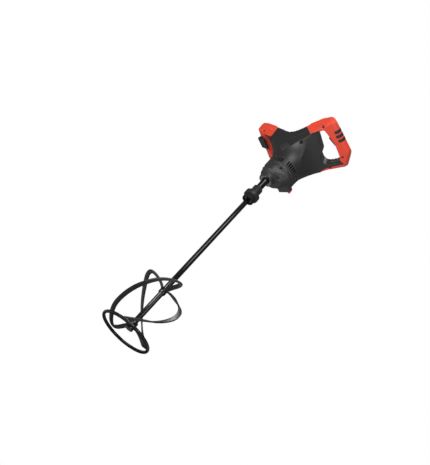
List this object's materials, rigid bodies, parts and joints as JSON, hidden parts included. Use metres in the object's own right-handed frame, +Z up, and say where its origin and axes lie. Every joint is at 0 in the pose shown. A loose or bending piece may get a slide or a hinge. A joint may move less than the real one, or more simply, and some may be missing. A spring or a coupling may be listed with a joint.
{
  "type": "mixing drill",
  "caption": "Electric mixing drill with a saddle housing, a loop handle on each side, a geared spindle and a long shaft that carries a helical ribbon paddle with a bottom ring.",
  "frame": {"origin": "on the spindle axis at the front face of the gear case nose, the plane a stand's collar butts against", "axes": "+Z up along the spindle towards the motor, with the paddle at -Z; +X towards the trigger handle; -Y the front of the housing"},
  "size_m": [0.3012, 0.1627, 0.7996],
  "materials": {
    "black_plastic": "moulded, fine grain",
    "red_plastic": "moulded, satin",
    "black_case": "die cast, painted satin black",
    "black_steel": "semi-gloss black",
    "steel": "turned",
    "gear_steel": "hobbed",
    "laminations": "stacked sheets",
    "copper": "enamelled wire",
    "bronze": "sintered",
    "carbon": "pressed carbon",
    "aluminium": "die cast",
    "rubber": "moulded"
  },
  "bodies": {
    "housing": {"housing_shell": "black_plastic", "saddle_cover": "black_plastic", "right_grip_lower": "red_plastic", "right_grip_upper": "red_plastic", "left_grip_lower": "red_plastic", "left_grip_upper": "red_plastic", "housing_screws": "steel", "trigger_pin": "steel", "switch_body": "black_plastic", "speed_control_unit": "black_plastic", "dial_axle": "steel", "cable_gland": "rubber", "stator": "laminations", "field_coils": "copper", "brush_holders": "bronze", "carbon_brushes": "carbon", "upper_motor_bearing": "steel", "lower_motor_bearing": "steel", "gear_case": "black_case", "gear_plate": "aluminium", "gear_case_screws": "steel", "layshaft_bushes": "bronze", "spindle_bearing": "steel", "spindle_bush": "bronze", "retaining_ring": "steel"},
    "armature": {"armature_shaft": "gear_steel", "armature_core": "laminations", "armature_windings": "copper", "commutator": "copper", "cooling_fan": "black_plastic"},
    "layshaft": {"layshaft": "gear_steel", "layshaft_gear": "gear_steel"},
    "spindle": {"spindle": "steel", "output_gear": "gear_steel", "coupling": "steel", "paddle_shaft": "black_steel", "lower_hub": "black_steel", "upper_hub": "black_steel", "paddle_ring": "black_steel", "ribbon_1": "black_steel", "ribbon_2": "black_steel", "ribbon_3": "black_steel"},
    "lock_sleeve": {"lock_sleeve": "black_steel"},
    "trigger": {"trigger": "black_plastic"},
    "lock_button": {"lock_button": "black_plastic"},
    "speed_dial": {"speed_dial": "black_plastic"},
    "selector_knob": {"selector_knob": "red_plastic"}
  },
  "joints": [
    {"name": "armature_spin", "type": "hinge", "parent": "housing", "child": "armature", "pos_m": [0, 0.02, 0.1], "axis": [0, 0, 1], "continuous": true},
    {"name": "layshaft_spin", "type": "hinge", "parent": "housing", "child": "layshaft", "pos_m": [0.02398, 0.01905, 0.03], "axis": [0, 0, 1], "continuous": true},
    {"name": "spindle_spin", "type": "hinge", "parent": "housing", "child": "spindle", "pos_m": [0, 0, 0], "axis": [0, 0, 1], "continuous": true},
    {"name": "sleeve_slide", "type": "slide", "parent": "spindle", "child": "lock_sleeve", "axis": [0, 0, 1], "range_m": [0, 0.005], "stiffness_N_per_m": 600, "springref_m": -0.004},
    {"name": "trigger_pull", "type": "hinge", "parent": "housing", "child": "trigger", "pos_m": [0.12461, 0.0095, 0.19044], "axis": [-0.3746, 0, 0.9272], "range_deg": [0, 10], "stiffness_Nm_per_rad": 0.6, "springref_deg": -11.46},
    {"name": "lock_button_press", "type": "slide", "parent": "housing", "child": "lock_button", "axis": [0.3746, 0, -0.9272], "range_m": [0, 0.004], "stiffness_N_per_m": 500, "springref_m": -0.003},
    {"name": "dial_turn", "type": "hinge", "parent": "housing", "child": "speed_dial", "pos_m": [-0.12866, -0.014, 0.19963], "axis": [0, 1, 0], "range_deg": [-135, 135]},
    {"name": "selector_turn", "type": "hinge", "parent": "housing", "child": "selector_knob", "pos_m": [0.018, 0.068, 0.048], "axis": [0, 1, 0], "range_deg": [0, 90]}
  ],
  "couplings": [
    {"joint": "layshaft_spin", "follows": "armature_spin", "ratio": -0.23077},
    {"joint": "spindle_spin", "follows": "armature_spin", "ratio": 0.066802}
  ]
}
